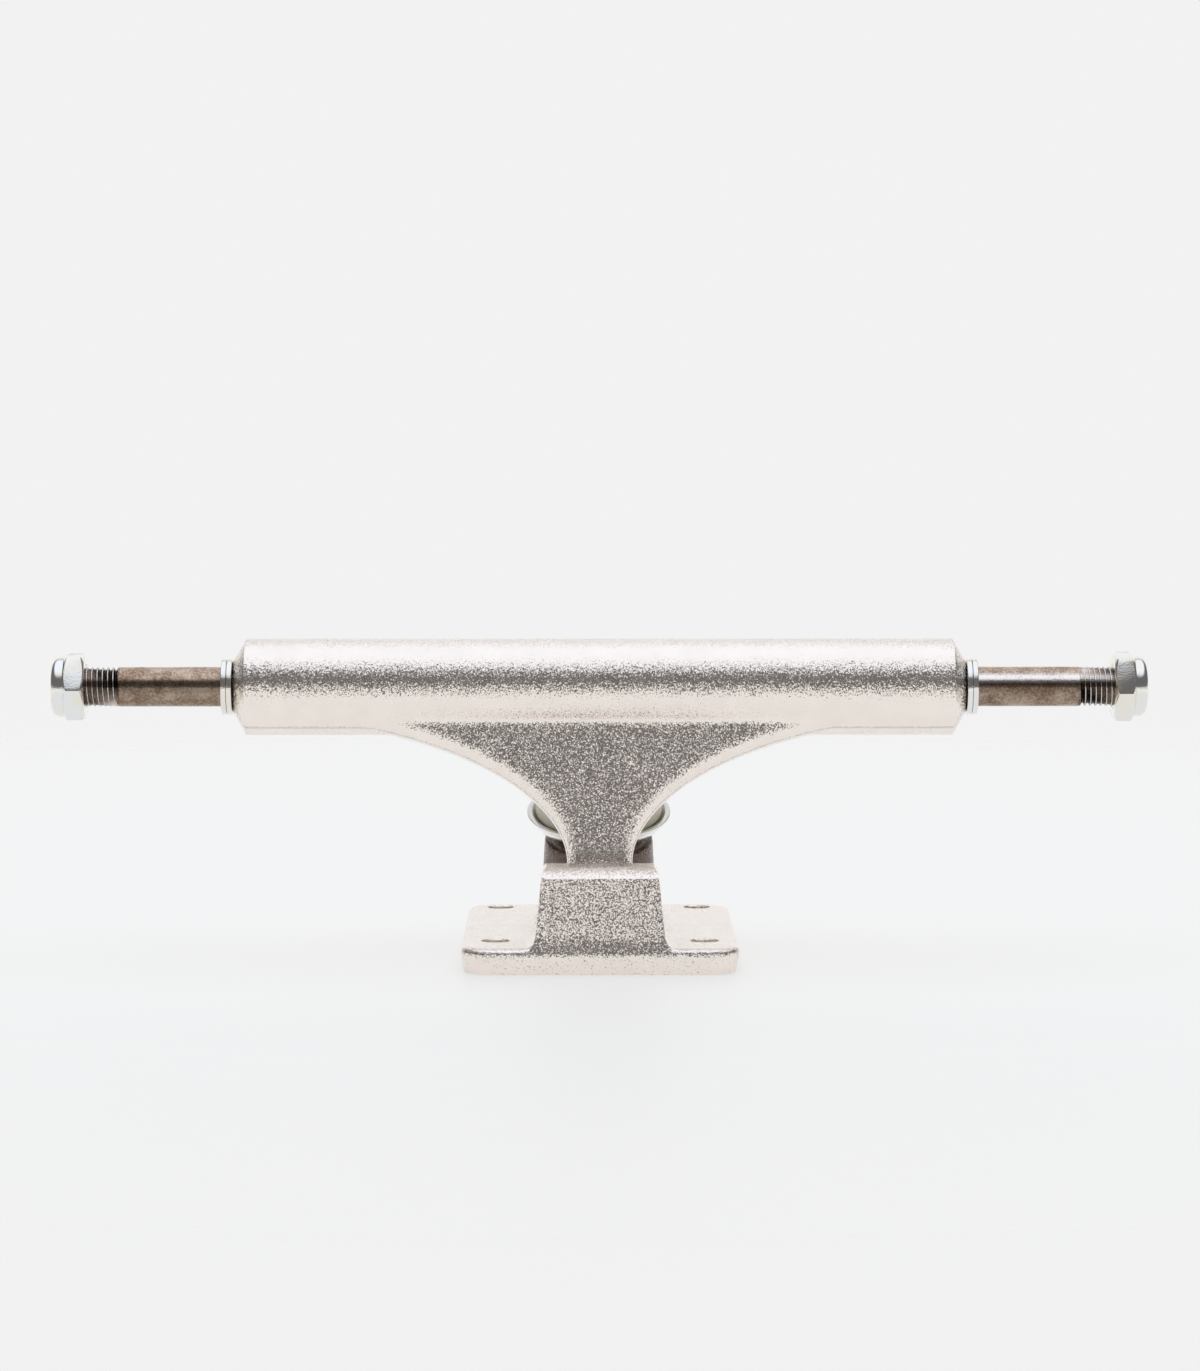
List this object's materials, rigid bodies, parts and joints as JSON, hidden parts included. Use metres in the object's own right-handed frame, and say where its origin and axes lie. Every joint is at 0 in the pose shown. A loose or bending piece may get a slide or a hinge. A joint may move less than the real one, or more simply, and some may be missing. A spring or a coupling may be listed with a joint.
{
  "type": "skateboard truck",
  "caption": "Cast skateboard truck: a hanger with a through axle and lock nuts, steering on a baseplate by a pivot nose, a leaning kingpin and two bushings.",
  "frame": {"origin": "centre of the four mounting holes, on the flat face of the baseplate that meets the deck", "axes": "+X along the axle, +Y from the pivot towards the kingpin, which is towards the middle of the board, +Z from the deck out to the axle"},
  "size_m": [0.2196, 0.0836, 0.0642],
  "materials": {
    "cast_aluminium": "tumbled and polished casting, fine orange peel",
    "axle_steel": "heat treated bare steel, brown tint",
    "kingpin_steel": "plain turned steel",
    "bright_zinc": "bright zinc plated steel",
    "ivory_urethane": "poured urethane, satin",
    "white_nylon": "moulded nylon",
    "black_plastic": "moulded plastic, satin"
  },
  "bodies": {
    "base": {"baseplate": "cast_aluminium", "pivot_cup": "black_plastic", "kingpin": "kingpin_steel", "bottom_washer": "bright_zinc", "bottom_bushing": "ivory_urethane", "top_bushing": "ivory_urethane", "top_washer": "bright_zinc"},
    "hanger": {"hanger": "cast_aluminium", "axle": "axle_steel"},
    "speed_rings_left": {"speed_ring_left_inner": "bright_zinc", "speed_ring_left_outer": "bright_zinc"},
    "speed_rings_right": {"speed_ring_right_inner": "bright_zinc", "speed_ring_right_outer": "bright_zinc"},
    "axle_nut_left_travel": {"axle_nut_insert_left": "white_nylon"},
    "axle_nut_left": {"axle_nut_left": "bright_zinc"},
    "axle_nut_right_travel": {"axle_nut_insert_right": "white_nylon"},
    "axle_nut_right": {"axle_nut_right": "bright_zinc"},
    "kingpin_nut_travel": {"kingpin_nut_insert": "white_nylon"},
    "kingpin_nut": {"kingpin_nut": "bright_zinc"}
  },
  "joints": [
    {"name": "steer", "type": "hinge", "parent": "base", "child": "hanger", "pos_m": [0, -0.02799, 0.011], "axis": [0, 0.8552, 0.5183], "range_deg": [-15, 15], "stiffness_Nm_per_rad": 30, "deforming": ["bottom_bushing", "top_bushing"]},
    {"name": "speed_rings_left_slide", "type": "slide", "parent": "hanger", "child": "speed_rings_left", "axis": [-1, 0, 0], "range_m": [0, 0.0204]},
    {"name": "speed_rings_right_slide", "type": "slide", "parent": "hanger", "child": "speed_rings_right", "axis": [1, 0, 0], "range_m": [0, 0.0204]},
    {"name": "axle_nut_left_travel", "type": "slide", "parent": "hanger", "child": "axle_nut_left_travel", "axis": [-1, 0, 0], "range_m": [-0.0056, 0.0035]},
    {"name": "axle_nut_left_turn", "type": "hinge", "parent": "axle_nut_left_travel", "child": "axle_nut_left", "pos_m": [-0.1061, -0.011, 0.0545], "axis": [-1, 0, 0], "range_deg": [-1905, 1191]},
    {"name": "axle_nut_right_travel", "type": "slide", "parent": "hanger", "child": "axle_nut_right_travel", "axis": [1, 0, 0], "range_m": [-0.0056, 0.0035]},
    {"name": "axle_nut_right_turn", "type": "hinge", "parent": "axle_nut_right_travel", "child": "axle_nut_right", "pos_m": [0.1061, -0.011, 0.0545], "axis": [1, 0, 0], "range_deg": [-1905, 1191]},
    {"name": "kingpin_nut_travel", "type": "slide", "parent": "base", "child": "kingpin_nut_travel", "axis": [0, -0.304, 0.9527], "range_m": [0, 0.0084]},
    {"name": "kingpin_nut_turn", "type": "hinge", "parent": "kingpin_nut_travel", "child": "kingpin_nut", "pos_m": [0, 0.0304, 0], "axis": [0, -0.304, 0.9527], "range_deg": [0, 2858]}
  ],
  "couplings": [
    {"joint": "axle_nut_left_turn", "follows": "axle_nut_left_travel", "rad_per_m": 5936.8},
    {"joint": "axle_nut_right_turn", "follows": "axle_nut_right_travel", "rad_per_m": 5936.8},
    {"joint": "kingpin_nut_turn", "follows": "kingpin_nut_travel", "rad_per_m": 5936.8}
  ]
}
